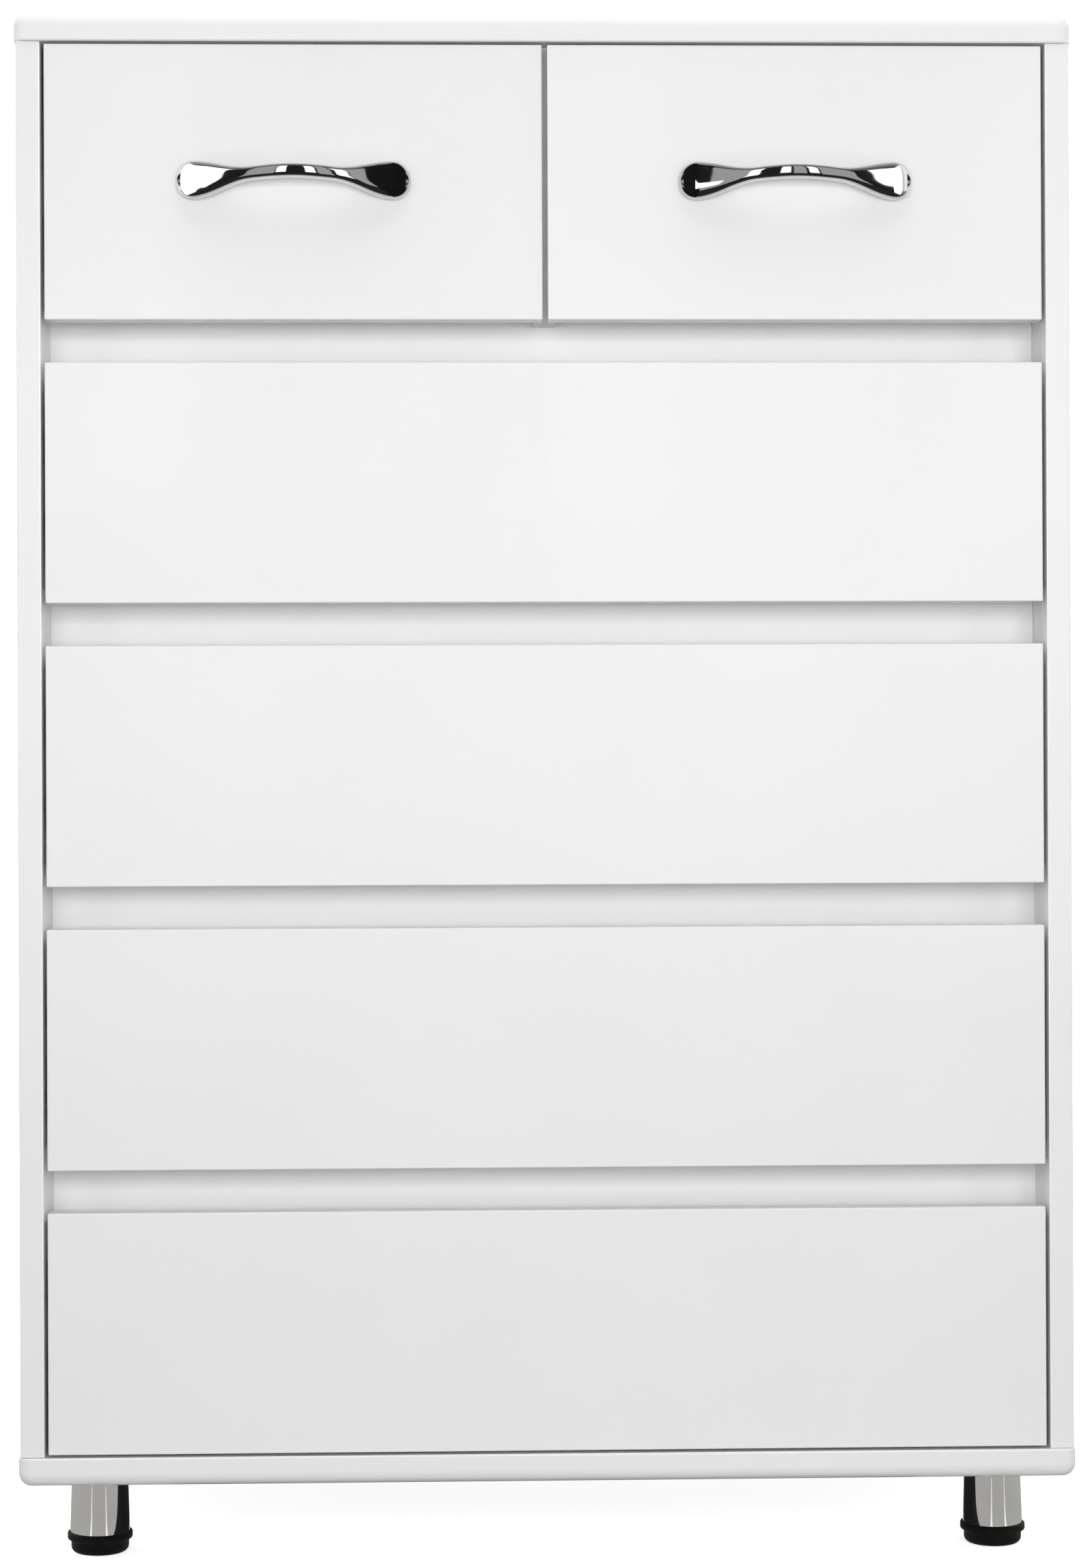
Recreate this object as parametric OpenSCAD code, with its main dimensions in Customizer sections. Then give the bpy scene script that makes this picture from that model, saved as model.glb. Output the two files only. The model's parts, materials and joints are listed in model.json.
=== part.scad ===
// Tall chest of drawers: two small drawers over four wide ones, on four round legs.
// Millimetres, +Z up, floor at Z = 0, front towards -Y, X = 0 on the middle of the chest.

/* [Carcass] */
// Width over the top and bottom boards
body_w = 800; // [700:10:900]
// Height from the floor to the top
body_h = 1170; // [1150:1:1190]
// Depth of the top and bottom boards
body_d = 400; // [390:5:450]
// Thickness of the top and bottom boards
board_t = 22; // [18:1:24]
// Thickness of the sides, rails, shelf and divider
panel_t = 18; // [16:1:19]
// How far the top and bottom boards stand proud of the sides and fronts
board_lip = 2; // [1:0.5:4]
// Radius of the long rounded arris of the top and bottom boards
board_round = 10; // [4:0.5:12]
// Radius of the other arris of the top and bottom boards
board_arris = 1.5; // [0.5:0.5:3]
// Thickness of the back panel and the drawer bottoms
sheet_t = 3; // [3:0.5:5]
// Distance from the rear edge to the back panel
back_inset = 10; // [6:1:20]
// Height of the grip rails behind the channels
rail_h = 60; // [50:1:64]
// Depth of the grip channels, from the fronts to the rails
channel_depth = 60; // [50:1:70]

/* [Drawers] */
// Gap beside the fronts
reveal = 3; // [2.5:0.5:5]
// Gap above the small fronts and under the lowest one
end_gap = 2; // [2:0.5:5]
// Gap between the two small fronts
centre_gap = 4; // [3:0.5:6]
// Height of the open channel above each wide front
channel_h = 32; // [28:1:36]
// Height of the two small fronts
small_front_h = 208; // [190:1:230]
// Thickness of the fronts
front_t = 18; // [16:1:19]
// Height of the small drawer boxes
small_box_h = 150; // [100:5:160]
// Height of the wide drawer boxes
wide_box_h = 130; // [80:5:134]
// Length of the drawer boxes
box_l = 350; // [300:10:350]
// Thickness of the box sides and backs
box_t = 12; // [10:1:16]
// Height of a box above the lower edge of its front
box_lift = 24; // [20:1:26]
// Height of a drawer bottom above the lower edge of its box
bottom_lift = 10; // [8:1:14]

/* [Runners] */
// Gap between a box and the panel beside it
runner_gap = 13; // [12.5:0.1:14]
// Length of each runner
runner_l = 350; // [300:10:350]
// How far a drawer slides out
travel = 250; // [200:5:250]
// Height of the cabinet member of a runner
runner_h = 35; // [30:1:45]
// Thickness of the runner steel
steel_t = 1.2; // [1:0.1:1.5]

/* [Handles] */
// Length of a handle
handle_l = 178; // [150:1:200]
// How far a handle stands out from its front
handle_proj = 28; // [22:1:35]
// Radius of the round ends
handle_end_r = 14.2; // [10:0.1:16]
// Height of the bar at its middle
handle_waist = 10.4; // [8:0.1:14]
// How far the middle of the bar is raised above the ends
handle_rise = 4.4; // [0:0.1:6]
// Spacing of the two screws of a handle
handle_screw_gap = 160; // [128:16:160]

/* [Legs] */
// Height of the legs
leg_h = 60; // [50:1:80]
// Distance from a leg's axis to the edges of the bottom board
leg_inset = 56; // [45:1:90]
// Diameter of a leg tube at its lower end
leg_d = 45.6; // [35:0.1:50]
// Diameter of a leg tube at its upper end
leg_top_d = 43; // [32:0.1:50]
// Diameter of the lip of a foot cap
foot_d = 49.6; // [48.6:0.1:56]
// Height of a foot cap
foot_h = 16; // [12:1:25]
// Side of a square leg plate
plate_w = 66; // [60:1:80]

/* [Hidden] */
$fn = 48;
eps = 0.01;
fit = 0.2;                // clearance of a sheet in its groove
groove_depth = 6;

// The handles stand out in front, so the middle of the whole depth is ahead of the boards' middle
total_d = body_d - board_lip + handle_proj;
y_board = -total_d / 2 + handle_proj - board_lip;
y_front = y_board + board_lip;
y_back = total_d / 2;
y_rail = y_front + channel_depth;
y_box = y_front + front_t;
y_sheet = y_back - back_inset - sheet_t;
side_x = body_w / 2 - board_lip;
inner_x = side_x - panel_t;
z_low = leg_h + board_t;
z_high = body_h - board_t;

// Heights of the fronts: four equal wide ones under the two small ones
pitch = (z_high - z_low - 2 * end_gap - small_front_h) / 4;
wide_front_h = pitch - channel_h;
wide_front_w = 2 * (inner_x - reveal);
small_front_w = (wide_front_w - centre_gap) / 2;

// Shelf under the small drawers, level with the middle of the uppermost channel
z_rail_1 = z_low + end_gap + 4 * pitch - channel_h / 2;
z_shelf = z_rail_1 - panel_t / 2;

drawers = [1, 2, 3, 4, 5, 6];
function is_small(d) = d < 3;
function hand(d) = d == 1 ? -1 : d == 2 ? 1 : 0;
function front_w(d) = is_small(d) ? small_front_w : wide_front_w;
function front_h(d) = is_small(d) ? small_front_h : wide_front_h;
function front_x(d) = hand(d) * (centre_gap + small_front_w) / 2;
function front_z(d) = z_low + end_gap + (is_small(d) ? 4 : 6 - d) * pitch;
function bay_w(d) = is_small(d) ? inner_x - panel_t / 2 : 2 * inner_x;
function bay_x(d) = hand(d) * (inner_x + panel_t / 2) / 2;
function box_w(d) = bay_w(d) - 2 * runner_gap;
function box_h(d) = is_small(d) ? small_box_h : wide_box_h;
function box_z(d) = front_z(d) + box_lift;
function runner_z(d) = box_z(d) + box_h(d) / 2;
function rail_z(i) = z_rail_1 - (i - 1) * pitch;

// Runner section, measured from the panel towards the box
y_runner = y_box + reveal;
cabinet_flange = 9.5;
drawer_flange = 9;
drawer_member_h = 24;
ball_d = 3.6;
ball_z = (runner_h / 2 - steel_t + drawer_member_h / 2) / 2;
ball_u = 6.7;
balls = 5;
cage_l = 100;
cage_t = 1;
cage_u0 = 2.2;
cage_u1 = 9;

// Dowels
dowel_r = 4;
dowel_half = 15;
dowel_y = [-130, 20, 170];

// Legs and their fixings
leg_x = body_w / 2 - leg_inset;
leg_y = [y_board + leg_inset, y_back - leg_inset];
leg_spots = [for (x = [-leg_x, leg_x]) for (y = leg_y) [x, y]];
tube_t = 1.5;
tube_z = 11.5;
cap_waist_r = leg_d / 2 - 0.8;
plate_t = 2;
plate_hole = 25;
leg_screw_r = 1.75;
leg_screw_l = 15;
leg_screw_head_r = 3.5;
leg_screw_head_t = 2;
leg_screw_hole_r = 2.25;

// Handle fixings
handle_z = front_z(1) + small_front_h / 2;
handle_screw_r = 2;
handle_screw_hole_r = 2.25;
handle_screw_grip = 7;
handle_screw_head_r = 4;
handle_screw_head_t = 2.4;
handle_post_r = 7;
handle_post_l = 9;

pieces = ["front", "left_side", "right_side", "back", "bottom", "runners", "ball_cages"];

white_gloss = [0.94, 0.94, 0.95];
white_board = [0.9, 0.9, 0.9];
hardboard = [0.8, 0.78, 0.74];
zinc = [0.7, 0.72, 0.75];
chrome = [0.8, 0.82, 0.85];
black_rubber = [0.05, 0.05, 0.05];
beech = [0.82, 0.68, 0.48];

// ---- shared shapes ----

// Box given by its two opposite corners
module block(low, high) {
    translate(low) cube(high - low);
}

// Section of a board's edge: the arris at the foot is large, the one at the top small
module edge_section() {
    intersection() {
        square([board_round, board_t]);
        union() {
            translate([0, board_round]) circle(board_round);
            translate([0, board_round]) square([board_round, board_t - board_round - board_arris]);
            square([board_round - board_arris, board_t]);
            translate([board_round - board_arris, board_t - board_arris]) circle(board_arris);
        }
        union() {
            translate([0, board_round]) circle(board_round);
            translate([0, board_round]) square([board_round, board_t]);
        }
    }
}

// Board with its foot at z = 0, rounded along the front and both ends, square at the rear
module rounded_board() {
    r = board_round;
    x = body_w / 2 - r;
    block([-x, y_board + r, 0], [x, y_back, board_t]);
    translate([-x, y_board + r, 0]) rotate([90, 0, 90])
        linear_extrude(2 * x) mirror([1, 0]) edge_section();
    for (s = [-1, 1])
        translate([s * x, y_back, 0]) rotate([90, 0, 0])
            linear_extrude(y_back - y_board - r) mirror([s < 0 ? 1 : 0, 0]) edge_section();
    translate([-x, y_board + r, 0]) rotate([0, 0, 180]) rotate_extrude(angle = 90) edge_section();
    translate([x, y_board + r, 0]) rotate([0, 0, 270]) rotate_extrude(angle = 90) edge_section();
}

// Groove that takes the edge of the back panel, cut this deep around the opening of the carcass
module back_groove() {
    g = groove_depth;
    block([-inner_x - g, y_sheet - fit, z_low - g], [inner_x + g, y_sheet + sheet_t + fit, z_high + g]);
}

// Every dowel of the carcass: ends of the boards, rails, shelf and divider
module dowels(r, half) {
    x = inner_x + panel_t / 2;
    for (s = [-1, 1]) for (y = dowel_y) for (z = [z_low, z_high])
        translate([s * x, y, z]) cylinder(r = r, h = 2 * half - 12, center = true);
    for (s = [-1, 1]) {
        for (i = [1:4]) for (k = [-1, 1])
            translate([s * inner_x, y_rail + panel_t / 2, rail_z(i) + k * rail_h / 4])
                rotate([0, 90, 0]) cylinder(r = r, h = 2 * half - 8, center = true);
        for (y = [dowel_y[1], dowel_y[2]])
            translate([s * inner_x, y, z_rail_1])
                rotate([0, 90, 0]) cylinder(r = r, h = 2 * half - 8, center = true);
    }
    for (y = [dowel_y[1], dowel_y[2]])
        translate([0, y, z_high]) cylinder(r = r, h = 2 * half - 12, center = true);
}

// ---- carcass ----

module top_board() {
    color(white_gloss) difference() {
        translate([0, 0, body_h]) mirror([0, 0, 1]) rounded_board();
        back_groove();
        dowels(dowel_r, dowel_half);
    }
}

module bottom_board() {
    color(white_gloss) difference() {
        translate([0, 0, leg_h]) rounded_board();
        back_groove();
        dowels(dowel_r, dowel_half);
        leg_screw_shanks(leg_screw_r);
    }
}

module side_panel(s) {
    color(white_gloss) difference() {
        block([min(s * inner_x, s * side_x), y_front, z_low], [max(s * inner_x, s * side_x), y_back, z_high]);
        back_groove();
        dowels(dowel_r, dowel_half);
    }
}

module back_panel() {
    e = groove_depth - fit;
    color(hardboard) block([-inner_x - e, y_sheet, z_low - e], [inner_x + e, y_sheet + sheet_t, z_high + e]);
}

// The divider reaches over the uppermost grip rail and hides behind the gap between the small fronts
module centre_divider() {
    y_nose = y_box + 2;
    y_rail_back = y_rail + panel_t;
    z_nose = front_z(1) + 2;
    z_rail_top = z_rail_1 + rail_h / 2;
    z_shelf_top = z_shelf + panel_t;
    color(white_board) difference() {
        translate([-panel_t / 2, 0, 0]) rotate([90, 0, 90]) linear_extrude(panel_t) polygon([
            [y_nose, z_nose], [y_rail, z_nose], [y_rail, z_rail_top], [y_rail_back, z_rail_top],
            [y_rail_back, z_shelf_top], [y_sheet - fit, z_shelf_top], [y_sheet - fit, z_high],
            [y_nose, z_high]
        ]);
        dowels(dowel_r, dowel_half);
    }
}

module mid_shelf() {
    color(white_board) difference() {
        block([-inner_x, y_rail + panel_t, z_shelf], [inner_x, y_sheet - fit, z_shelf + panel_t]);
        dowels(dowel_r, dowel_half);
    }
}

module grip_rails() {
    color(white_gloss) difference() {
        for (i = [1:4])
            block([-inner_x, y_rail, rail_z(i) - rail_h / 2], [inner_x, y_rail + panel_t, rail_z(i) + rail_h / 2]);
        dowels(dowel_r, dowel_half);
    }
}

module carcass_dowels() {
    color(beech) dowels(dowel_r - 0.02, dowel_half - 0.5);
}

// ---- runners ----

// Places a runner section on both sides of a bay: u runs from the panel towards the box
module on_both_sides(d) {
    for (s = [-1, 1])
        translate([bay_x(d) + s * bay_w(d) / 2, y_runner, runner_z(d)]) mirror([s > 0 ? 1 : 0, 0, 0])
            children();
}

// Channel of bent steel, open towards +u, with its web at u0
module channel(u0, u1, h, l) {
    block([u0, 0, -h / 2], [u0 + steel_t, l, h / 2]);
    for (s = [-1, 1])
        block([u0, 0, s > 0 ? h / 2 - steel_t : -h / 2], [u1, l, s > 0 ? h / 2 : steel_t - h / 2]);
}

module cabinet_runners() {
    color(zinc) for (d = drawers) on_both_sides(d) channel(0, cabinet_flange, runner_h, runner_l);
}

module drawer_runners(d) {
    color(zinc) on_both_sides(d)
        translate([runner_gap, 0, 0]) mirror([1, 0, 0])
            channel(0, drawer_flange, drawer_member_h, runner_l - reveal);
}

// Strip of balls between the two members of a runner
module ball_cages(d) {
    z = ball_z + cage_t / 2;
    color(zinc) on_both_sides(d) translate([0, travel / 2, 0]) {
        block([cage_u0, 0, -z], [cage_u0 + cage_t, cage_l, z]);
        for (s = [-1, 1]) {
            block([cage_u0, 0, s * ball_z - cage_t / 2], [cage_u1, cage_l, s * ball_z + cage_t / 2]);
            for (i = [1:balls])
                translate([ball_u, (i - 0.5) * cage_l / balls, s * ball_z]) sphere(d = ball_d);
        }
    }
}

// ---- drawers ----

// The bottom panel's groove, cut from every piece around it
module bottom_groove(d) {
    bottom_sheet(d, groove_depth, fit);
}

module bottom_sheet(d, edge, gap) {
    x = box_w(d) / 2 - box_t + edge;
    z = box_z(d) + bottom_lift;
    block([bay_x(d) - x, y_box - edge, z - gap],
          [bay_x(d) + x, y_box + box_l - box_t + edge, z + sheet_t + gap]);
}

module drawer_front(d) {
    color(white_gloss) difference() {
        block([front_x(d) - front_w(d) / 2, y_front, front_z(d)],
              [front_x(d) + front_w(d) / 2, y_box, front_z(d) + front_h(d)]);
        bottom_groove(d);
        if (is_small(d)) handle_bores(d, y_front - eps, y_box + eps, handle_screw_hole_r);
    }
}

module box_side(d, s) {
    x = bay_x(d) + s * box_w(d) / 2;
    color(white_board) difference() {
        block([min(x, x - s * box_t), y_box, box_z(d)],
              [max(x, x - s * box_t), y_box + box_l, box_z(d) + box_h(d)]);
        bottom_groove(d);
    }
}

module box_back(d) {
    x = box_w(d) / 2 - box_t;
    color(white_board) difference() {
        block([bay_x(d) - x, y_box + box_l - box_t, box_z(d)],
              [bay_x(d) + x, y_box + box_l, box_z(d) + box_h(d)]);
        bottom_groove(d);
    }
}

module box_bottom(d) {
    color(hardboard) bottom_sheet(d, groove_depth - fit, 0);
}

// ---- handles ----

function step_up(a, b, t) = let (s = min(max((t - a) / (b - a), 0), 1)) s * s * (3 - 2 * s);

// Outline of the bar at a distance t from its middle
end_x = handle_l / 2 - handle_end_r;
function round_off(t) = t > end_x ? sqrt(max(0, 1 - pow((t - end_x) / handle_end_r, 2))) : 1;
function bar_half(t) =
    round_off(t) * (handle_waist / 2
    + (handle_end_r - handle_waist / 2) * pow(step_up(0.4 * end_x, end_x, t), 1.15));
function bar_rise(t) = handle_rise * (1 - step_up(0, end_x, t));
function bar_back(t) = t < 0.9 * end_x ? (handle_proj - 9) * cos(100 * t / end_x) : 0;
function bar_face(t) = (handle_post_l + (handle_proj - handle_post_l) * pow(cos(90 * t / (handle_l / 2)), 1.2));

// Sections along the bar: ellipses drawn out towards a flat face with rounded edges
sections = 40;
around = 32;
squareness = 0.65;
function drawn_out(v) = sign(v) * pow(abs(v), squareness);
function section_x(i) = -cos(180 * i / sections) * (handle_l / 2 - 0.3);
function bar_ring(i) =
    let (x = section_x(i), t = abs(x), h = bar_half(t), back = max(0, bar_back(t)),
         face = back + (bar_face(t) - back) * round_off(t), mid = (face + back) / 2)
    [for (k = [0:around - 1]) let (a = 360 * k / around)
        [x, -mid - (face - back) / 2 * drawn_out(cos(a)), bar_rise(t) + h * drawn_out(sin(a))]];

module handle_bar() {
    points = [for (i = [0:sections]) each bar_ring(i)];
    walls = [for (i = [0:sections - 1]) for (k = [0:around - 1])
        let (a = i * around + k, b = i * around + (k + 1) % around)
        each [[a, b, b + around], [a, b + around, a + around]]];
    tips = [[for (k = [around - 1:-1:0]) k], [for (k = [0:around - 1]) sections * around + k]];
    polyhedron(points, concat(walls, tips), convexity = 6);
}

module handle_bores(d, y0, y1, r) {
    for (s = [-1, 1])
        translate([front_x(d) + s * handle_screw_gap / 2, y0, handle_z])
            rotate([-90, 0, 0]) cylinder(r = r, h = y1 - y0);
}

module handle(d) {
    color(chrome) difference() {
        translate([front_x(d), y_front, handle_z]) {
            handle_bar();
            for (s = [-1, 1])
                translate([s * handle_screw_gap / 2, 0, 0]) rotate([90, 0, 0])
                    cylinder(r = handle_post_r, h = handle_post_l - 2);
        }
        handle_bores(d, y_front - handle_screw_grip, y_front + eps, handle_screw_r);
    }
}

module handle_screws(d) {
    color(zinc) {
        handle_bores(d, y_front - handle_screw_grip + fit, y_box + eps, handle_screw_r - 0.02);
        handle_bores(d, y_box, y_box + handle_screw_head_t, handle_screw_head_r);
    }
}

// ---- legs ----

module at_legs() {
    for (p = leg_spots) translate([p[0], p[1], 0]) children();
}

module leg_tubes() {
    r0 = leg_d / 2;
    r1 = leg_top_d / 2;
    z1 = leg_h - plate_t;
    color(chrome) at_legs() rotate_extrude() polygon([
        [r0 - tube_t, tube_z], [r0, tube_z], [r0, foot_h], [r1, z1], [r1 - tube_t, z1], [r0 - tube_t, foot_h]
    ]);
}

// Push-on cap: a lip around the tube, tapering to a rounded tread
module leg_feet() {
    r = foot_d / 2;
    tread = 5;
    color(black_rubber) at_legs() difference() {
        rotate_extrude() {
            polygon([
                [0, 0], [cap_waist_r - tread, 0], [cap_waist_r, tread], [cap_waist_r, tube_z - 2.5],
                [r, tube_z - 0.5], [r, foot_h - 1.5], [r - 0.8, foot_h], [0, foot_h]
            ]);
            translate([cap_waist_r - tread, tread]) circle(tread);
        }
        translate([0, 0, tube_z]) cylinder(r = leg_d / 2, h = foot_h);
    }
}

module leg_plates() {
    color(zinc) difference() {
        at_legs() block([-plate_w / 2, -plate_w / 2, leg_h - plate_t], [plate_w / 2, plate_w / 2, leg_h]);
        leg_screw_shanks(leg_screw_hole_r);
    }
}

// Four screws to a plate, each shape centred on its screw's axis at the plate's underside
module at_leg_screws() {
    at_legs() for (x = [-plate_hole, plate_hole]) for (y = [-plate_hole, plate_hole])
        translate([x, y, leg_h - plate_t]) children();
}

module leg_screw_shanks(r) {
    at_leg_screws() translate([0, 0, -eps]) cylinder(r = r, h = leg_screw_l);
}

module leg_screws() {
    color(zinc) {
        leg_screw_shanks(leg_screw_r - 0.02);
        at_leg_screws() translate([0, 0, -leg_screw_head_t]) cylinder(r = leg_screw_head_r, h = leg_screw_head_t);
    }
}

// ---- the chest ----

top_board();
bottom_board();
side_panel(-1);  // left_side
side_panel(1);  // right_side
back_panel();
centre_divider();
mid_shelf();
grip_rails();
cabinet_runners();
carcass_dowels();
leg_tubes();
leg_feet();
leg_plates();
leg_screws();
handle(1);  // handle_left
handle(2);  // handle_right
handle_screws(1);  // handle_screws_left
handle_screws(2);  // handle_screws_right
for (d = drawers) {
    drawer_front(d);
    box_side(d, -1);
    box_side(d, 1);
    box_back(d);
    box_bottom(d);
    drawer_runners(d);
    ball_cages(d);
}
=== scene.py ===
"""Looks of a tall chest of drawers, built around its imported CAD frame.

Lengths are in metres, with +Z up and the front towards -Y. Pieces made here take their place and
overall size from the boxes of the CAD nodes; the few measures that a box can't give repeat the CAD's.
"""

import json
import math

import bmesh
import bpy
from mathutils import Euler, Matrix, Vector


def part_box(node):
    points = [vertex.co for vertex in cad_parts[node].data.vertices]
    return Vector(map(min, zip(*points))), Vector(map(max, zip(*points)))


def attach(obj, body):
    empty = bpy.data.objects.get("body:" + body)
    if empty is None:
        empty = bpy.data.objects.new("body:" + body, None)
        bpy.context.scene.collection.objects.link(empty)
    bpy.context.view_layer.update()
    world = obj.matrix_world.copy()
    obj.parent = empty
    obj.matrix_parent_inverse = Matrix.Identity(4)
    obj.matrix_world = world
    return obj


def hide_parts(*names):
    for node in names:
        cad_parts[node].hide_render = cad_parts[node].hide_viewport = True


MM = 0.001

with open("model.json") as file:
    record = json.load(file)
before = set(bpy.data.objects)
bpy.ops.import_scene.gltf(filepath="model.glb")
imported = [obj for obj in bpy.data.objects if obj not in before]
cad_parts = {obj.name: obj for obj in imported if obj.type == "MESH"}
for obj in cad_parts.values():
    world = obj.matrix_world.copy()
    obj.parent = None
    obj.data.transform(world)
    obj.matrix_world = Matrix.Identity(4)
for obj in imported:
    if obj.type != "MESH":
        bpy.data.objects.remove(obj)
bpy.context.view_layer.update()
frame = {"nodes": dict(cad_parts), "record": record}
nodes = frame["nodes"]
bodies = frame["record"]["behaviour"]["bodies"]
body_of = {node: body for body, members in bodies.items() for node in members}
slot_of = {part["node"]: part["material_slot"] for part in frame["record"]["subparts"]}


# ---- camera ----

FULL_FRAME = 36
LENS = 76.04
FAR = 1000
CAMERA_X = -0.074
CAMERA_Z = 0.58
CAMERA_DISTANCE = 2.5
CAMERA_TURN = (90.166, 0.23, -1.675)


def make_camera():
    """A long lens in front of the chest, a little left of its middle and below its own middle height."""
    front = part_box("drawer_3_front")[0].y
    data = bpy.data.cameras.new("camera")
    data.sensor_width = FULL_FRAME
    data.lens = LENS
    data.clip_end = FAR
    camera = bpy.data.objects.new("camera", data)
    bpy.context.scene.collection.objects.link(camera)
    camera.location = (CAMERA_X, front - CAMERA_DISTANCE, CAMERA_Z)
    camera.rotation_euler = Euler([math.radians(turn) for turn in CAMERA_TURN])
    bpy.context.scene.camera = camera


# ---- stage and light ----

# How bright the world is behind the chest, on the camera's side, and below the horizon
WORLD_WHITE = 1.08
WORLD_DIM = 0.12
WORLD_BELOW = 0.3
# Where the world changes over, as parts of a unit direction towards +Y and +Z
TURN_Y = (-0.5, -0.12)
TURN_Z = (-0.08, -0.02)

FLOOR_SIZE = 400
FLOOR_GREY = 0.82
FLOOR_GLOW = 0.7
WHITE = (1, 1, 1)
WARM = (1, 0.97, 0.91)
# Sockets of a Mix node whose names are not unique
MIX_A, MIX_B = 2, 3
MIX_COLOUR_A, MIX_COLOUR_B, MIX_COLOUR = 6, 7, 2


def stage_plane(name, width, depth, location, rotation=(0, 0, 0)):
    """A flat stage object: its own plane is XY before it is turned."""
    mesh = bpy.data.meshes.new(name)
    x, y = width / 2, depth / 2
    mesh.from_pydata([(-x, -y, 0), (x, -y, 0), (x, y, 0), (-x, y, 0)], [], [(0, 1, 2, 3)])
    plane = bpy.data.objects.new(name, mesh)
    bpy.context.scene.collection.objects.link(plane)
    plane.location = location
    plane.rotation_euler = [math.radians(a) for a in rotation]
    return plane


def flat_material(name, grey, emission, colour=WHITE):
    """One matt colour with a glow of its own, for the stage."""
    material, shader = new_material(name)
    shader.inputs["Base Color"].default_value = (grey, grey, grey, 1)
    shader.inputs["Roughness"].default_value = 0.9
    shader.inputs["Specular IOR Level"].default_value = 0.1
    shader.inputs["Emission Color"].default_value = (*colour, 1)
    shader.inputs["Emission Strength"].default_value = emission
    return material


def reflection_card(name, emission, corner, opposite, colour=WHITE):
    """A flat card between two opposite corners, level with one axis. Only reflections see it."""
    low, high = Vector(corner), Vector(opposite)
    flat = min(range(3), key=lambda axis: abs(high[axis] - low[axis]))
    u, v = [axis for axis in range(3) if axis != flat]
    spots = []
    for a, b in ((0, 0), (1, 0), (1, 1), (0, 1)):
        spot = low.copy()
        spot[u] = (low, high)[a][u]
        spot[v] = (low, high)[b][v]
        spots.append(spot)
    mesh = bpy.data.meshes.new(name)
    mesh.from_pydata(spots, [], [(0, 1, 2, 3)])
    card = bpy.data.objects.new(name, mesh)
    bpy.context.scene.collection.objects.link(card)
    only_mirrored(card, emission, colour)


def only_mirrored(card, emission, colour=WHITE):
    """Makes a stage object glow in reflections and nowhere else."""
    card.data.materials.append(flat_material(card.name, 0, emission, colour))
    card.visible_camera = False
    card.visible_diffuse = False
    card.visible_shadow = False
    card.visible_transmission = False


def area_light(name, power, size, location, target):
    """A soft rectangle of light that neither the camera nor a reflection sees."""
    data = bpy.data.lights.new(name, "AREA")
    data.shape = "RECTANGLE"
    data.size, data.size_y = size
    data.energy = power
    light = bpy.data.objects.new(name, data)
    bpy.context.scene.collection.objects.link(light)
    light.location = location
    light.rotation_euler = (Vector(target) - Vector(location)).to_track_quat("-Z", "Y").to_euler()
    light.visible_glossy = False
    light.visible_camera = False


def make_world():
    """White behind the chest, dim on the camera's side and below the horizon."""
    world = bpy.data.worlds.new("studio")
    bpy.context.scene.world = world
    world.use_nodes = True
    tree = world.node_tree
    background = tree.nodes["Background"]
    background.inputs["Color"].default_value = (*WHITE, 1)
    coordinates = tree.nodes.new("ShaderNodeTexCoord")
    split = tree.nodes.new("ShaderNodeSeparateXYZ")
    tree.links.new(coordinates.outputs["Generated"], split.inputs["Vector"])
    behind = turn_over(tree, split.outputs["Y"], TURN_Y, WORLD_DIM, WORLD_WHITE)
    above = turn_over(tree, split.outputs["Z"], TURN_Z, 0, 1)
    strength = tree.nodes.new("ShaderNodeMix")
    strength.inputs[MIX_A].default_value = WORLD_BELOW
    tree.links.new(above, strength.inputs["Factor"])
    tree.links.new(behind, strength.inputs[MIX_B])
    tree.links.new(strength.outputs["Result"], background.inputs["Strength"])


def turn_over(tree, value, limits, before, after):
    """Goes smoothly from one value to another while the input crosses the limits."""
    node = tree.nodes.new("ShaderNodeMapRange")
    node.interpolation_type = "SMOOTHSTEP"
    node.inputs["From Min"].default_value, node.inputs["From Max"].default_value = limits
    node.inputs["To Min"].default_value = before
    node.inputs["To Max"].default_value = after
    tree.links.new(value, node.inputs["Value"])
    return node.outputs["Result"]


def make_stage():
    """A pale floor, soft light mostly from the front, and the surroundings that chrome mirrors."""
    scene = bpy.context.scene
    scene.view_settings.view_transform = "Standard"
    scene.view_settings.look = "None"
    make_world()

    floor = stage_plane("floor", FLOOR_SIZE, FLOOR_SIZE, (0, 0, 0))
    floor.data.materials.append(flat_material("floor_pale", FLOOR_GREY, FLOOR_GLOW))
    floor.visible_diffuse = False
    floor.visible_glossy = False

    area_light("key", 54.5, size=(2.4, 1.0), location=(0.08, -3.0, 0.88), target=(0, 0, 0.7))
    area_light("key_low", 1.6, size=(0.8, 0.2), location=(0.1, -1.4, 0.16), target=(0, -0.185, 0.2))
    area_light("key_above", 9, size=(1.6, 0.8), location=(0.1, -0.9, 2.6), target=(0, -0.185, 0.8))
    area_light("wing_left", 5, size=(0.5, 1.2), location=(-1.7, -1.7, 0.7), target=(0.3, -0.15, 0.6))
    area_light("wing_right", 5, size=(0.5, 1.2), location=(1.7, -1.7, 0.7), target=(-0.3, -0.15, 0.6))
    area_light("overhead", 26, size=(2.4, 1.6), location=(0, 0.3, 3.4), target=(0, 0.3, 0))
    area_light("side_left", 14, size=(1.2, 1.8), location=(-2.4, 0.9, 1.2), target=(0, 0.1, 0.6))
    area_light("side_right", 14, size=(1.2, 1.8), location=(2.4, 0.9, 1.2), target=(0, 0.1, 0.6))
    make_room()
    make_leg_reflections()


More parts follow.
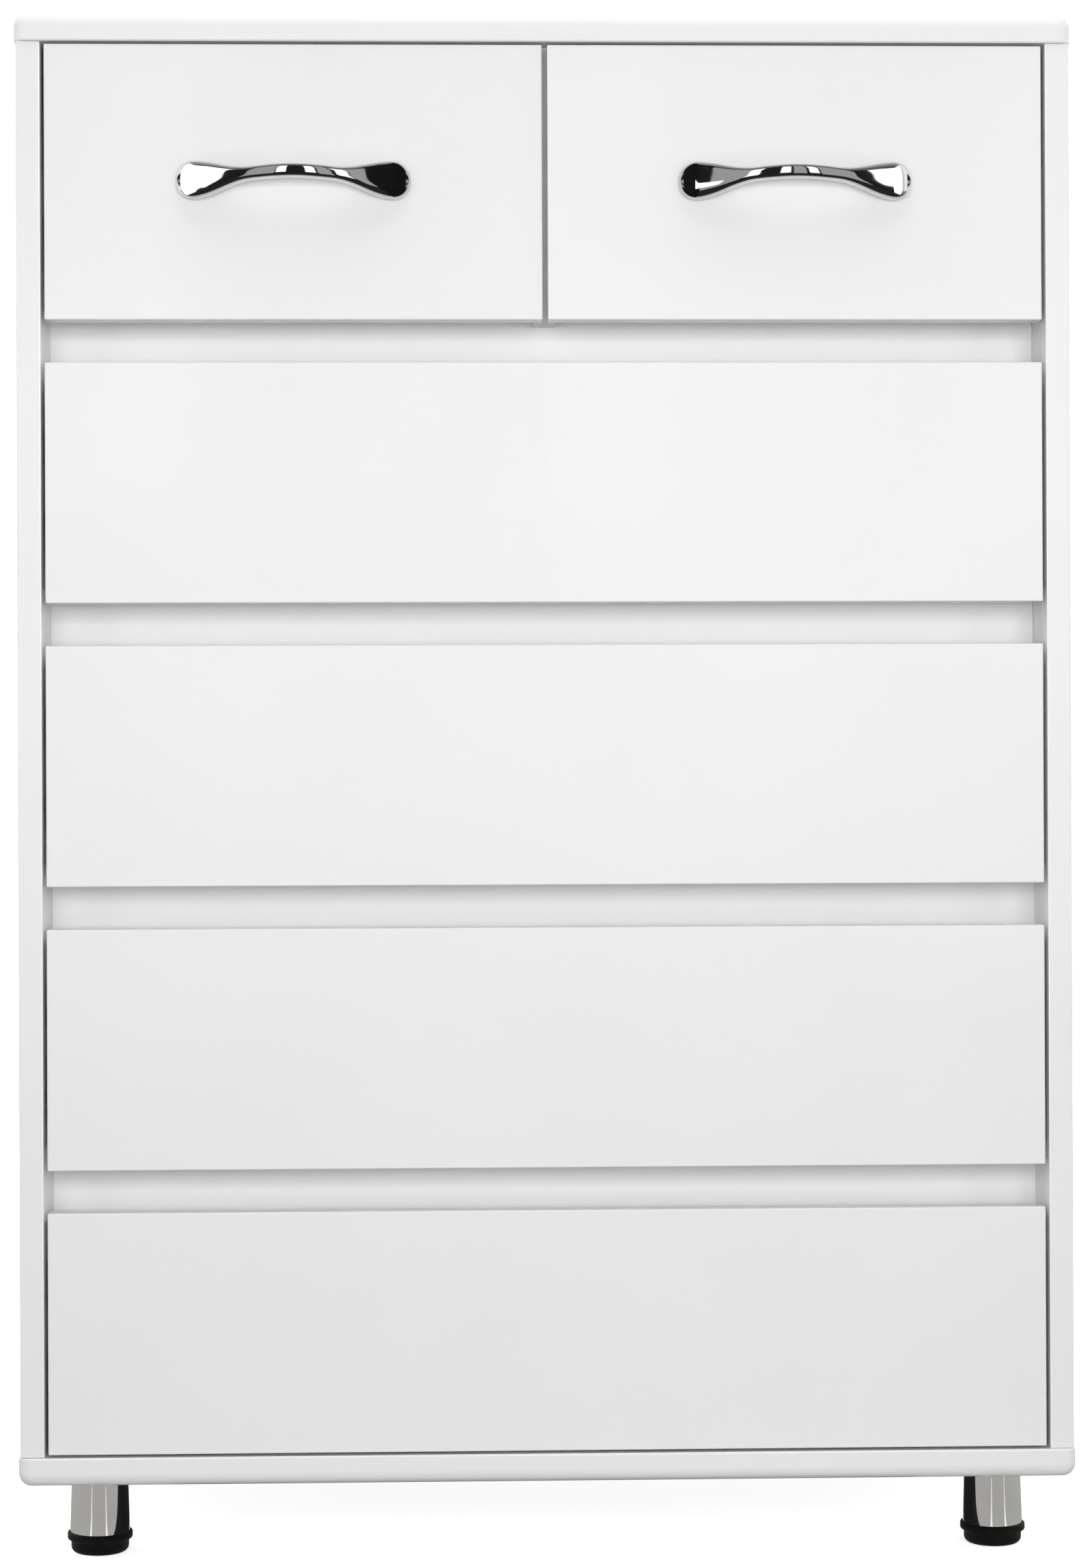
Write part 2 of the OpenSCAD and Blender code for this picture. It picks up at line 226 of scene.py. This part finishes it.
def make_room():
    """What the polished handles mirror: a dark room with three tall windows and two side reflectors."""
    reflection_card("room_front", 0.012, (-4, -3.4, 0), (4, -3.4, 3.6))
    reflection_card("room_floor", 0.02, (-4, -3.4, -0.002), (4, -0.5, -0.002))
    reflection_card("room_ceiling", 0.35, (-2.5, -1.4, 3.3), (2.5, -0.1, 3.3))
    half, window_y = 0.11, -2.2
    for i, x in enumerate((-0.52, 0.12, 0.76)):
        reflection_card(f"window_{i}", 1.6, (x - half, window_y, 0.95), (x + half, window_y, 2.5))
    reflection_card("wall_left", 0.4, (-1.35, -2.3, 0.6), (-0.68, -2.3, 3))
    reflection_card("wall_middle", 0.4, (0.3, -2.3, 0.6), (0.6, -2.3, 3))
    reflection_card("wall_right", 0.4, (0.95, -2.3, 0.6), (1.8, -2.3, 3))
    reflection_card("side_card_left", 1.5, (-0.9, -1.1, 0.6), (-0.9, -0.25, 1.9))
    reflection_card("side_card_right", 1.5, (0.9, -0.95, 0.75), (0.9, -0.42, 1.6))
    reflection_card("flag", 0.005, (0, -0.42, 0.7), (0, -0.19, 1.4))
    reflection_card("streak", 1.6, (0.015, -0.43, 1.03), (0.015, -0.32, 1.07))


def make_leg_reflections():
    """What the legs mirror: grey floor around, a dark card as painted shade for the shadowed floor under
    the chest, and two thin streaks each.
    """
    reflection_card("floor_grey", 0.47, (-1.1, -0.56, 0.001), (1.1, 0.5, 0.001), WARM)
    # Painted shade: a dark card, seen only in reflections, stands in for the shadow on the floor under
    # the chest
    reflection_card("floor_painted_shade", 0.008, (-0.29, -0.19, 0.002), (0.29, 0.3, 0.002))
    front_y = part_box("leg_feet")[0].y + FOOT_R
    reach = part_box("leg_feet")[1].x - FOOT_R
    away, above_floor = 0.2, 0.003
    for x, turns in ((-reach, (-26, 28)), (reach, (-12, 38))):
        for turn in turns:
            angle = math.radians(turn)
            spot = (x + away * math.sin(angle), front_y - away * math.cos(angle), above_floor)
            strip = stage_plane(f"streak_{x:.1f}_{turn}", 0.012, 0.34, spot, (0, 0, turn))
            only_mirrored(strip, 1.1)


# ---- materials ----

LACQUER_SHADE = 0.755
# Painted light: the recessed rails and the sides' inner faces get a brighter white than the fronts, in
# place of light that the grip channels shade
RAIL_PAINTED_LIGHT = 0.97
# Where a noise begins and ends to count, for the usual even mix of two tones
EVEN = (0.3, 0.7)


def new_material(name):
    material = bpy.data.materials.new(name)
    material.use_nodes = True
    return material, material.node_tree.nodes["Principled BSDF"]


def add(material, kind, **values):
    """A shader node with the given inputs; an input given as a socket is linked to it."""
    node = material.node_tree.nodes.new(kind)
    for key, value in values.items():
        socket = node.inputs[key.replace("_", " ")]
        if isinstance(value, bpy.types.NodeSocket):
            material.node_tree.links.new(value, socket)
        else:
            socket.default_value = value
    return node


def link(material, socket, target):
    material.node_tree.links.new(socket, target)


def position(material):
    """Where a point is on its own piece, so that a texture moves with it."""
    return add(material, "ShaderNodeTexCoord").outputs["Object"]


def stretched(material, vector, scale):
    """Scales a texture by axis: it runs long where the scale is small."""
    mapping = add(material, "ShaderNodeMapping", Vector=vector)
    mapping.inputs["Scale"].default_value = scale
    return mapping.outputs["Vector"]


def noise(material, vector, scale, detail=3.0, roughness=0.5):
    node = add(
        material, "ShaderNodeTexNoise", Vector=vector, Scale=scale, Detail=detail, Roughness=roughness
    )
    return node.outputs["Fac"]


def ramp(material, value, limits, colour_low, colour_high):
    """Blends two colours while the value crosses the limits."""
    node = add(material, "ShaderNodeValToRGB", Fac=value)
    ends = node.color_ramp.elements
    ends[0].position, ends[1].position = limits
    ends[0].color, ends[1].color = (*colour_low, 1), (*colour_high, 1)
    return node.outputs["Color"]


def calculation(material, operation, a, b):
    """A Math node on a socket and a second socket or number."""
    node = add(material, "ShaderNodeMath")
    node.operation = operation
    link(material, a, node.inputs[0])
    if isinstance(b, bpy.types.NodeSocket):
        link(material, b, node.inputs[1])
    else:
        node.inputs[1].default_value = b
    return node.outputs[0]


def choose(material, factor, otherwise, chosen):
    """The chosen colour where the factor is 1, and the other one where it is 0."""
    node = add(material, "ShaderNodeMix")
    node.data_type = "RGBA"
    link(material, factor, node.inputs["Factor"])
    link(material, otherwise, node.inputs[MIX_COLOUR_A])
    if isinstance(chosen, bpy.types.NodeSocket):
        link(material, chosen, node.inputs[MIX_COLOUR_B])
    else:
        node.inputs[MIX_COLOUR_B].default_value = (*chosen, 1)
    return node.outputs[MIX_COLOUR]


def split_geometry(material, output):
    """The X, Y and Z sockets of a vector of the surface, in the frame's directions."""
    geometry = add(material, "ShaderNodeNewGeometry")
    return add(material, "ShaderNodeSeparateXYZ", Vector=geometry.outputs[output]).outputs


def spread(material, value, low, high):
    """The value, which runs from 0 to 1, spread over low to high."""
    node = add(material, "ShaderNodeMapRange", Value=value)
    node.inputs["To Min"].default_value = low
    node.inputs["To Max"].default_value = high
    return node.outputs["Result"]


def bump(material, shader, height, depth):
    """Raises the surface by height times depth, in metres."""
    node = add(material, "ShaderNodeBump", Height=height, Strength=1.0, Distance=depth)
    link(material, node.outputs["Normal"], shader.inputs["Normal"])
    return node


def white_gloss(name="white_lacquer", shade=LACQUER_SHADE, dull=(0.26, 0.36), coat=0.35):
    """Sprayed white lacquer: a faint orange peel under a soft clear coat, with barely uneven colour."""
    material, shader = new_material(name)
    where = position(material)
    uneven = 0.008
    deep, bright = [shade - uneven] * 3, [shade + uneven] * 3
    tone = ramp(material, noise(material, where, 6, 4), EVEN, deep, bright)
    link(material, tone, shader.inputs["Base Color"])
    haze = spread(material, noise(material, where, 30, 5, 0.7), *dull)
    link(material, haze, shader.inputs["Roughness"])
    shader.inputs["Coat Weight"].default_value = coat
    shader.inputs["Coat Roughness"].default_value = 0.12
    peel = noise(material, where, 140, 2, 0.4)
    node = bump(material, shader, peel, 0.02 * MM)
    link(material, node.outputs["Normal"], shader.inputs["Coat Normal"])
    return material


def side_lacquer_painted_light():
    """The sides' lacquer: the plain shade outside and in front, and the rails' brighter white on the
    inner faces, which is painted light where the recesses keep them in shade.
    """
    material = white_gloss("white_lacquer_sides_painted_light")
    shader = material.node_tree.nodes["Principled BSDF"]
    outside = shader.inputs["Base Color"].links[0].from_socket
    normal = split_geometry(material, "True Normal")
    spot = split_geometry(material, "Position")
    outward = calculation(material, "MULTIPLY", normal["X"], spot["X"])
    # Faces turned towards the middle get the brighter white: painted light, not a different lacquer
    painted_light_inside = calculation(material, "LESS_THAN", outward, -0.1)
    tone = choose(material, painted_light_inside, outside, [RAIL_PAINTED_LIGHT] * 3)
    link(material, tone, shader.inputs["Base Color"])
    return material


def white_board():
    """Melamine-faced board: satin white with the fine pebbled grain of its press plate."""
    material, shader = new_material("white_melamine")
    where = position(material)
    tone = ramp(material, noise(material, where, 9), EVEN, (0.80, 0.80, 0.79), (0.84, 0.84, 0.835))
    link(material, tone, shader.inputs["Base Color"])
    satin = spread(material, noise(material, where, 220), 0.38, 0.52)
    link(material, satin, shader.inputs["Roughness"])
    bump(material, shader, noise(material, where, 900, 3, 0.6), 0.06 * MM)
    return material


def hardboard():
    """Thin fibreboard: white film on its upper and front faces, raw brown fibre on the others."""
    material, shader = new_material("coated_hardboard")
    where = position(material)
    fibre = noise(material, where, 420, 6, 0.75)
    raw = ramp(material, fibre, (0.3, 0.72), (0.19, 0.115, 0.062), (0.36, 0.235, 0.14))
    patches = noise(material, where, 12)
    film = ramp(material, patches, EVEN, (0.78, 0.78, 0.77), (0.82, 0.82, 0.81))
    normal = split_geometry(material, "True Normal")
    facing = calculation(material, "SUBTRACT", normal["Z"], normal["Y"])
    coated = calculation(material, "GREATER_THAN", facing, 0.5)
    link(material, choose(material, coated, raw, film), shader.inputs["Base Color"])
    link(material, spread(material, fibre, 0.55, 0.8), shader.inputs["Roughness"])
    bump(material, shader, fibre, 0.12 * MM)
    return material


def zinc_steel():
    """Rolled steel strip with bright zinc plate: fine lengthwise drawing marks and a spangled tone."""
    material, shader = new_material("zinc_plated_steel")
    where = position(material)
    marks = noise(material, stretched(material, where, (400, 12, 400)), 3, 4, 0.6)
    spangle = noise(material, where, 160, 3)
    tone = ramp(material, spangle, EVEN, (0.50, 0.52, 0.55), (0.66, 0.68, 0.70))
    link(material, tone, shader.inputs["Base Color"])
    shader.inputs["Metallic"].default_value = 1.0
    link(material, spread(material, marks, 0.22, 0.42), shader.inputs["Roughness"])
    bump(material, shader, marks, 0.03 * MM)
    return material


def chrome():
    """Mirror chrome over a cast or drawn base: almost flawless, with faint polishing haze."""
    material, shader = new_material("mirror_chrome")
    where = position(material)
    tone = ramp(material, noise(material, where, 40), EVEN, (0.72, 0.72, 0.73), (0.77, 0.77, 0.78))
    link(material, tone, shader.inputs["Base Color"])
    shader.inputs["Metallic"].default_value = 1.0
    haze = spread(material, noise(material, where, 260, 5, 0.7), 0.015, 0.06)
    link(material, haze, shader.inputs["Roughness"])
    bump(material, shader, noise(material, where, 90, 2), 0.012 * MM)
    return material


def black_rubber():
    """Moulded black rubber: satin, with a fine matt grain and a trace of dust."""
    material, shader = new_material("moulded_black_rubber")
    where = position(material)
    dust = noise(material, where, 70, 5, 0.7)
    tone = ramp(material, dust, (0.45, 0.85), (0.0015, 0.0015, 0.0015), (0.007, 0.007, 0.0065))
    link(material, tone, shader.inputs["Base Color"])
    shader.inputs["Specular IOR Level"].default_value = 0.15
    link(material, spread(material, dust, 0.45, 0.65), shader.inputs["Roughness"])
    bump(material, shader, noise(material, where, 1400, 3, 0.6), 0.05 * MM)
    return material


def beech():
    """Turned beech dowel with short flecked grain."""
    material, shader = new_material("beech_dowel")
    where = position(material)
    grain = noise(material, stretched(material, where, (40, 400, 400)), 3, 5, 0.7)
    tone = ramp(material, grain, EVEN, (0.50, 0.33, 0.18), (0.68, 0.49, 0.30))
    link(material, tone, shader.inputs["Base Color"])
    link(material, spread(material, grain, 0.5, 0.7), shader.inputs["Roughness"])
    bump(material, shader, grain, 0.1 * MM)
    return material


MATERIALS = {
    "white_gloss": white_gloss(),
    "white_board": white_board(),
    "hardboard": hardboard(),
    "zinc_steel": zinc_steel(),
    "chrome": chrome(),
    "black_rubber": black_rubber(),
    "beech": beech(),
}

# The rails' lacquer holds painted light: a brighter white in place of the light that the grip channels
# keep from them
RAIL_LACQUER_PAINTED_LIGHT = white_gloss("white_lacquer_rails_painted_light", RAIL_PAINTED_LIGHT)
SIDE_LACQUER_PAINTED_LIGHT = side_lacquer_painted_light()
TOP_LACQUER = white_gloss("white_lacquer_top", dull=(0.5, 0.6), coat=0.05)


# ---- pieces made here ----

# Edges that turn further than this are shaded as edges
SHARP = math.radians(32)
CLOSE = 0.002 * MM
replaced = set()


def add_piece(name, bm, node):
    """Turns a bmesh into a smooth-shaded piece in place of a CAD node, on its body and in its slot."""
    bmesh.ops.remove_doubles(bm, verts=bm.verts, dist=CLOSE)
    bmesh.ops.recalc_face_normals(bm, faces=bm.faces)
    for face in bm.faces:
        face.smooth = True
    for edge in bm.edges:
        edge.smooth = len(edge.link_faces) == 2 and edge.calc_face_angle() < SHARP
    mesh = bpy.data.meshes.new(name)
    bm.to_mesh(mesh)
    bm.free()
    piece = bpy.data.objects.new(name, mesh)
    bpy.context.scene.collection.objects.link(piece)
    piece.data.materials.append(MATERIALS[slot_of[node]])
    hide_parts(node)
    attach(piece, body_of[node])
    replaced.add(node)


def lathe(bm, profile, centre, axis="Z", segments=96):
    """Turns a profile of (radius, height) around an axis through the centre."""
    rings = []
    for radius, height in profile:
        count = 1 if radius == 0 else segments
        ring = []
        for i in range(count):
            angle = math.tau * i / segments
            x, y = radius * math.cos(angle), radius * math.sin(angle)
            spot = (x, y, height) if axis == "Z" else (x, height, y)
            ring.append(bm.verts.new(Vector(centre) + Vector(spot)))
        rings.append(ring)
    for low_ring, high_ring in zip(rings, rings[1:]):
        for i in range(segments):
            j = (i + 1) % segments
            corners = [low_ring[i % len(low_ring)], low_ring[j % len(low_ring)]]
            corners += [high_ring[j % len(high_ring)], high_ring[i % len(high_ring)]]
            unique = list(dict.fromkeys(corners))
            if len(unique) > 2:
                bm.faces.new(unique)


def arc(centre_r, centre_h, radius, start, end, steps=6):
    """Points on an arc of a profile, with angles in degrees from the outward direction."""
    angles = [math.radians(start + (end - start) * i / steps) for i in range(steps + 1)]
    return [(centre_r + radius * math.cos(a), centre_h + radius * math.sin(a)) for a in angles]


# -- handles: the outline of the bar at a distance t from its middle, as in the CAD --

HANDLE_WAIST = 10.4 * MM
HANDLE_RISE = 4.4 * MM
HANDLE_POST = 9 * MM
POST_R = 7 * MM
POST_SPACING = 160 * MM
SCREW_GRIP = 7 * MM
SCREW_BORE_R = 2 * MM
NECK_START = 0.4
NECK_SHAPE = 1.15
BACK_END = 0.9
BACK_TURN = math.radians(100)
FACE_SHAPE = 1.2
SQUARENESS = 0.65
SECTIONS = 120
AROUND = 96


def step_up(a, b, t):
    """Goes smoothly from 0 at a to 1 at b."""
    s = min(max((t - a) / (b - a), 0), 1)
    return s * s * (3 - 2 * s)


def handle_ring(x, length, depth, end_r):
    """Points around the bar at x: it narrows to the waist, rises, and bows out from the front."""
    t = abs(x)
    end_x = length / 2 - end_r
    closing = math.sqrt(max(0, 1 - ((t - end_x) / end_r) ** 2)) if t > end_x else 1
    neck = step_up(NECK_START * end_x, end_x, t) ** NECK_SHAPE
    half = closing * (HANDLE_WAIST / 2 + (end_r - HANDLE_WAIST / 2) * neck)
    rise = HANDLE_RISE * (1 - step_up(0, end_x, t))
    reach = depth - HANDLE_POST
    back = max(0, reach * math.cos(BACK_TURN * t / end_x)) if t < BACK_END * end_x else 0
    front = HANDLE_POST + reach * math.cos(math.pi / 2 * min(1, t / (length / 2))) ** FACE_SHAPE
    face = back + (front - back) * closing
    middle, swell = (face + back) / 2, (face - back) / 2
    ring = []
    for k in range(AROUND):
        angle = math.tau * k / AROUND
        out = middle + swell * drawn_out(math.cos(angle))
        ring.append((x, -out, rise + half * drawn_out(math.sin(angle))))
    return ring


def drawn_out(v):
    """Turns an ellipse into a flatter face with rounded edges."""
    return math.copysign(abs(v) ** SQUARENESS, v)


def make_handle(node):
    """The bowed bar, and the two posts that its screws run into."""
    low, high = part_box(node)
    length, depth, end_r = high.x - low.x, high.y - low.y, (high.z - low.z) / 2
    origin = Vector(((low.x + high.x) / 2, high.y, low.z + end_r))
    bm = bmesh.new()
    rings = []
    for i in range(SECTIONS + 1):
        x = -math.cos(math.pi * i / SECTIONS) * length / 2
        rings.append([bm.verts.new(origin + Vector(v)) for v in handle_ring(x, length, depth, end_r)])
    for ring_a, ring_b in zip(rings, rings[1:]):
        for k in range(AROUND):
            m = (k + 1) % AROUND
            bm.faces.new([ring_a[k], ring_a[m], ring_b[m], ring_b[k]])
    for side in (-1, 1):
        foot = origin + Vector((side * POST_SPACING / 2, 0, 0))
        post = [(POST_R - 0.4 * MM, 0), (POST_R, -0.4 * MM), (POST_R, -SCREW_GRIP)]
        bore = [(SCREW_BORE_R, -SCREW_GRIP), (SCREW_BORE_R, 0)]
        lathe(bm, bore + post, foot, axis="Y", segments=48)
    add_piece(node + "_bar", bm, node)


# -- legs --

FOOT_R = 24.8 * MM
TUBE_R = 22.8 * MM
TUBE_TOP_R = 21.5 * MM
TUBE_WALL = 1.5 * MM


def leg_spots():
    """The foot of each leg's axis on the floor."""
    low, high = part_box("leg_feet")
    xs = (low.x + FOOT_R, high.x - FOOT_R)
    ys = (low.y + FOOT_R, high.y - FOOT_R)
    return [(x, y, 0) for x in xs for y in ys]


def make_tubes():
    """Tubes that taper towards the top, above the part that stands in the cap."""
    low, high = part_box("leg_tubes")
    cap_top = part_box("leg_feet")[1].z
    edge = 0.4 * MM
    bore = TUBE_R - TUBE_WALL
    inside = [(TUBE_TOP_R - TUBE_WALL, high.z), (bore, cap_top), (bore, low.z)]
    outside = [(TUBE_R, low.z), (TUBE_R, cap_top)]
    outside += [(TUBE_TOP_R, high.z - edge), (TUBE_TOP_R - edge, high.z)]
    bm = bmesh.new()
    for spot in leg_spots():
        lathe(bm, inside + outside + inside[:1], spot)
    add_piece("leg_tube_walls", bm, "leg_tubes")


def make_feet():
    """A rounded tread, a straight waist and a flared lip around the tube."""
    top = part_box("leg_feet")[1].z
    floor_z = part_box("leg_tubes")[0].z
    waist = TUBE_R - 0.8 * MM
    tread = 5 * MM
    lip = 1.3 * MM
    profile = [(0, 0), (waist - tread - 1 * MM, 0)]
    profile += arc(waist - tread, tread, tread, -90, 0, 10)
    profile += [(waist, floor_z - 2.8 * MM), (waist + 0.3 * MM, floor_z - 2.3 * MM)]
    profile += [(FOOT_R - 0.4 * MM, floor_z - 0.9 * MM), (FOOT_R, floor_z - 0.2 * MM)]
    profile += arc(FOOT_R - lip, top - lip, lip, 0, 90, 5)
    profile += [(TUBE_R + 0.3 * MM, top), (TUBE_R, top - 0.4 * MM), (TUBE_R, floor_z), (0, floor_z)]
    bm = bmesh.new()
    for spot in leg_spots():
        lathe(bm, profile, spot)
    add_piece("leg_cap_rubber", bm, "leg_feet")


# -- screws: pan heads with a cross recess --

SCREW_SEGMENTS = 32
HANDLE_SCREW_R = 1.98 * MM
HANDLE_HEAD_T = 2.4 * MM
LEG_SCREW_R = 1.73 * MM
LEG_HEAD_R = 3.5 * MM
LEG_SCREW_OFFSET = 25 * MM


def place(spot, axis, outward):
    """A point given around a screw's axis, with its height along the axis, in the frame's directions."""
    x, y, height = spot
    return Vector((x, y, height * outward)) if axis == "Z" else Vector((x, height * outward, y))


def screw(bm, centre, axis, outward, head, shank):
    """Head and shank are (radius, length). The bearing face is at the centre, the head outward of it."""
    head_r, head_t = head
    shank_r, shank_l = shank
    edge = 0.45 * head_t
    tip = 0.5 * MM
    profile = [(0, -shank_l), (shank_r - tip, -shank_l), (shank_r, tip - shank_l), (shank_r, 0)]
    profile += [(head_r, 0)]
    profile += arc(head_r - edge, head_t - edge, edge, 0, 90, 6)
    lathe(bm, [(r, h * outward) for r, h in profile], centre, axis, SCREW_SEGMENTS)

    rim_r = head_r - edge
    angles = [math.tau * i / SCREW_SEGMENTS for i in range(SCREW_SEGMENTS)]
    rim = [(rim_r * math.cos(angle), rim_r * math.sin(angle)) for angle in angles]
    arm, slot = 0.82 * rim_r, 0.2 * rim_r
    cross = [(arm, -slot), (arm, slot), (slot, slot), (slot, arm), (-slot, arm), (-slot, slot)]
    cross += [(-arm, slot), (-arm, -slot), (-slot, -slot), (-slot, -arm), (slot, -arm), (slot, -slot)]

    def ring(points, height):
        return [bm.verts.new(Vector(centre) + place((x, y, height), axis, outward)) for x, y in points]

    rim_ring, mouth, base = ring(rim, head_t), ring(cross, head_t), ring(cross, 0.45 * head_t)
    edges = []
    for loop in (rim_ring, mouth):
        edges += [bm.edges.new((loop[i - 1], loop[i])) for i in range(len(loop))]
    bmesh.ops.triangle_fill(bm, edges=edges, use_beauty=True)
    for i in range(len(mouth)):
        bm.faces.new([mouth[i - 1], mouth[i], base[i], base[i - 1]])
    bm.faces.new(base)


def make_handle_screws(node):
    low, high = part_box(node)
    head = ((high.z - low.z) / 2, HANDLE_HEAD_T)
    bearing_y = high.y - HANDLE_HEAD_T
    middle = (low + high) / 2
    bm = bmesh.new()
    for side in (-1, 1):
        centre = (middle.x + side * POST_SPACING / 2, bearing_y, middle.z)
        screw(bm, centre, "Y", 1, head, (HANDLE_SCREW_R, bearing_y - low.y))
    add_piece(node + "_pan_heads", bm, node)


def make_leg_screws():
    low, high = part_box("leg_screws")
    plate_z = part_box("leg_plates")[0].z
    head = (LEG_HEAD_R, plate_z - low.z)
    shank = (LEG_SCREW_R, high.z - plate_z)
    bm = bmesh.new()
    for x, y, _ in leg_spots():
        for dx in (-LEG_SCREW_OFFSET, LEG_SCREW_OFFSET):
            for dy in (-LEG_SCREW_OFFSET, LEG_SCREW_OFFSET):
                screw(bm, (x + dx, y + dy, plate_z), "Z", -1, head, shank)
    add_piece("leg_screw_pan_heads", bm, "leg_screws")


make_handle_screws("handle_screws_left")
make_handle_screws("handle_screws_right")
make_leg_screws()
make_handle("handle_left")
make_handle("handle_right")
make_tubes()
make_feet()


# ---- CAD nodes kept as they are, with softened arrises ----

# Radius of the arris, by material slot
ARRIS = {
    "white_gloss": 1.0 * MM,
    "white_board": 0.7 * MM,
    "hardboard": 0.25 * MM,
    "zinc_steel": 0.3 * MM,
    "beech": 0.8 * MM,
}
# Pieces whose arrises are already round
ROUNDED = ("top_board", "bottom_board")
# Pieces with a lacquer of their own; the brighter white of the rails and of the sides' inner faces is
# painted light
OWN_LACQUER = {
    "grip_rails": RAIL_LACQUER_PAINTED_LIGHT,
    "left_side": SIDE_LACQUER_PAINTED_LIGHT,
    "right_side": SIDE_LACQUER_PAINTED_LIGHT,
    "top_board": TOP_LACQUER,
}
WELD_GAP = 0.01 * MM
FLAT = math.radians(1)
CORNER = math.radians(40)


def paint(piece, material):
    piece.data.materials.clear()
    piece.data.materials.append(material)


def soften(piece, radius, segments=3):
    """Joins the mesh along its edges, merges its flat faces and rounds its arrises."""
    weld = piece.modifiers.new("weld", "WELD")
    weld.merge_threshold = WELD_GAP
    flats = piece.modifiers.new("flats", "DECIMATE")
    flats.decimate_type = "DISSOLVE"
    flats.angle_limit = FLAT
    bevel = piece.modifiers.new("arris", "BEVEL")
    bevel.width = radius
    bevel.segments = segments
    bevel.limit_method = "ANGLE"
    bevel.angle_limit = CORNER
    bevel.use_clamp_overlap = False
    bevel.harden_normals = True


def dress_cad_nodes():
    for name, piece in nodes.items():
        if name in replaced:
            continue
        slot = slot_of[name]
        paint(piece, OWN_LACQUER.get(name, MATERIALS[slot]))
        if slot in ARRIS and name not in ROUNDED:
            soften(piece, ARRIS[slot])


make_camera()
make_stage()
dress_cad_nodes()
